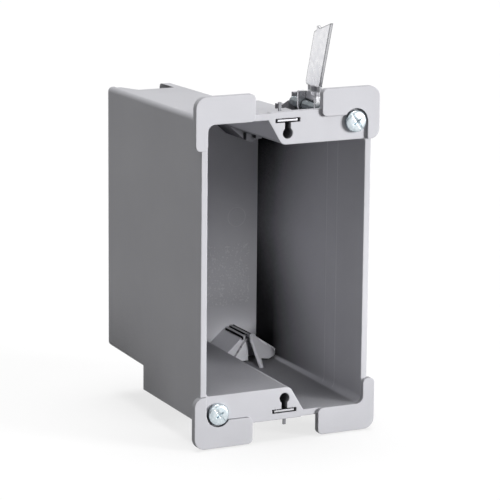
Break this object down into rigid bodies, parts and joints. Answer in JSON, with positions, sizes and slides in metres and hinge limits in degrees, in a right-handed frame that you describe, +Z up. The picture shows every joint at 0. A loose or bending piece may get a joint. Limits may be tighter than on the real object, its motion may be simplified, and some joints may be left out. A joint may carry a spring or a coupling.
{
  "type": "single-gang old-work electrical box",
  "caption": "Moulded wall box for one device, with L-shaped ears, stepped roof and floor, moulded cable clamps and steel swing brackets on clamp screws.",
  "frame": {"origin": "midway between the two device screw holes, in the flange face that the device is screwed to", "axes": "+Z up the box, -Y out of the box to the room, +Y into the wall, +X to the right seen from the room"},
  "size_m": [0.0624, 0.0762, 0.1268],
  "materials": {
    "box_plastic": "fine moulded satin",
    "bracket_steel": "bright plated sheet",
    "screw_zinc": "clear zinc plate",
    "spring_steel": "plain spring steel"
  },
  "bodies": {
    "box": {"box_body": "box_plastic", "upper_device_clip": "spring_steel", "lower_device_clip": "spring_steel"},
    "upper_bracket": {"upper_swing_bracket": "bracket_steel"},
    "lower_bracket": {"lower_swing_bracket": "bracket_steel"},
    "upper_screw": {"upper_clamp_screw": "screw_zinc"},
    "lower_screw": {"lower_clamp_screw": "screw_zinc"}
  },
  "joints": [
    {"name": "upper_bracket_swing", "type": "hinge", "parent": "box", "child": "upper_bracket", "pos_m": [0.02303, 0.0274, 0.04395], "axis": [0, -1, 0], "range_deg": [0, 81.5]},
    {"name": "lower_bracket_swing", "type": "hinge", "parent": "box", "child": "lower_bracket", "pos_m": [-0.02303, 0.0274, -0.04395], "axis": [0, 1, 0], "range_deg": [0, 81.5]},
    {"name": "upper_screw_turn", "type": "hinge", "parent": "box", "child": "upper_screw", "pos_m": [0.02303, 0, 0.04395], "axis": [0, 1, 0], "continuous": true},
    {"name": "lower_screw_turn", "type": "hinge", "parent": "box", "child": "lower_screw", "pos_m": [-0.02303, 0, -0.04395], "axis": [0, 1, 0], "continuous": true}
  ]
}
